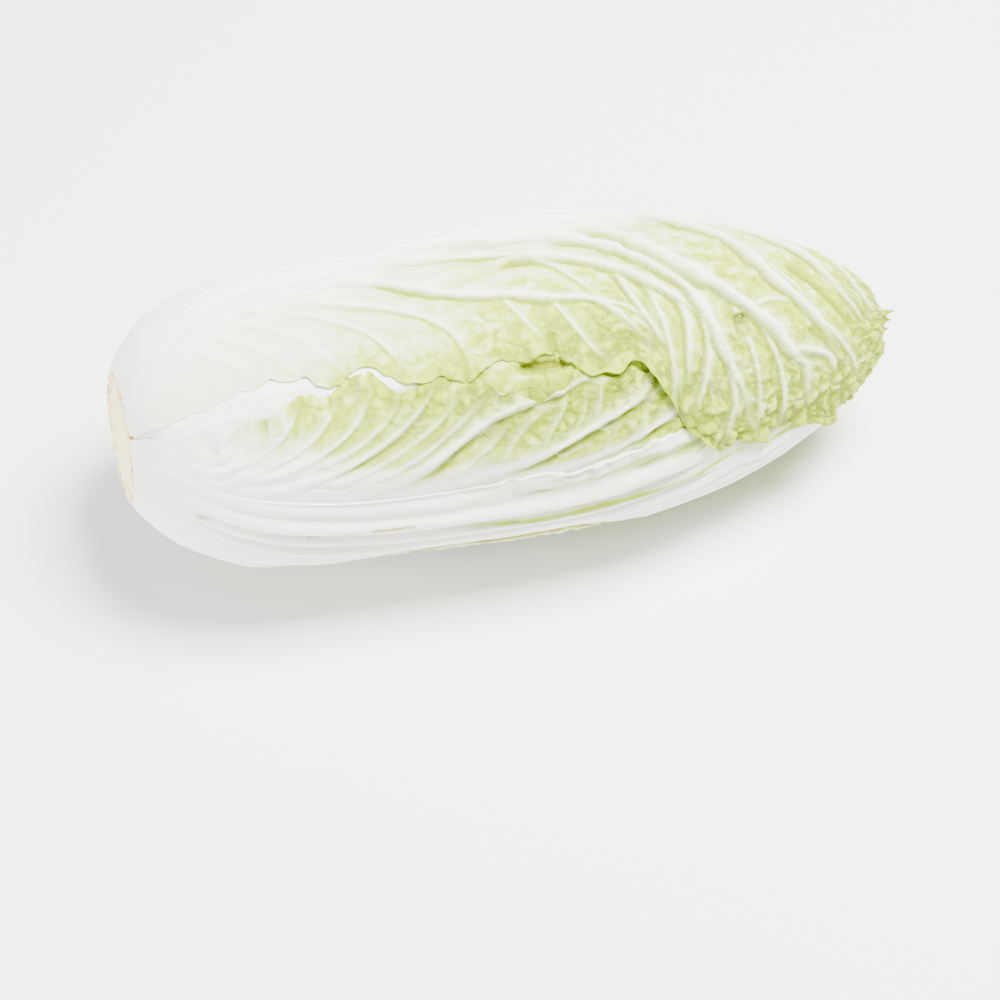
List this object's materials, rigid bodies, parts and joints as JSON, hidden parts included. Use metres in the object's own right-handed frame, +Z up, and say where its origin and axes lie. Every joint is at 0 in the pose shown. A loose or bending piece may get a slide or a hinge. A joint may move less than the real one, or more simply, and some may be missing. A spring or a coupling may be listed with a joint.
{
  "type": "napa cabbage",
  "caption": "Whole napa cabbage lying on its side: wrapping leaves with white ribs, packed inner leaves, a heart and a cut stump.",
  "frame": {"origin": "centre of the bounding box's bottom, on the surface the head rests on", "axes": "+X runs from the cut stump to the leaf tips, +Z is up, and -Y faces the side where the two front leaves meet"},
  "size_m": [0.3376, 0.1386, 0.1375],
  "materials": {
    "outer_leaf": "moist waxy leaf, white ribs and pale yellow-green blade",
    "inner_leaf": "moist pale yellow leaf, white ribs",
    "heart": "moist yellow leaf bud",
    "stump": "fibrous cut stem, drying cream"
  },
  "bodies": {
    "root": {"heart": "heart", "leaf_1_front": "outer_leaf", "leaf_1_low": "outer_leaf", "leaf_1_top": "outer_leaf", "leaf_1_under": "outer_leaf", "leaf_2_back": "outer_leaf", "leaf_2_front": "outer_leaf", "leaf_2_under": "outer_leaf", "leaf_3_a": "inner_leaf", "leaf_3_b": "inner_leaf", "leaf_3_c": "inner_leaf", "leaf_4_a": "inner_leaf", "leaf_4_b": "inner_leaf", "leaf_4_c": "inner_leaf", "leaf_5_a": "inner_leaf", "leaf_5_b": "inner_leaf", "leaf_5_c": "inner_leaf", "leaf_6_a": "inner_leaf", "leaf_6_b": "inner_leaf", "leaf_6_c": "inner_leaf", "leaf_7_a": "inner_leaf", "leaf_7_b": "inner_leaf", "leaf_7_c": "inner_leaf", "stump": "stump"}
  },
  "joints": []
}
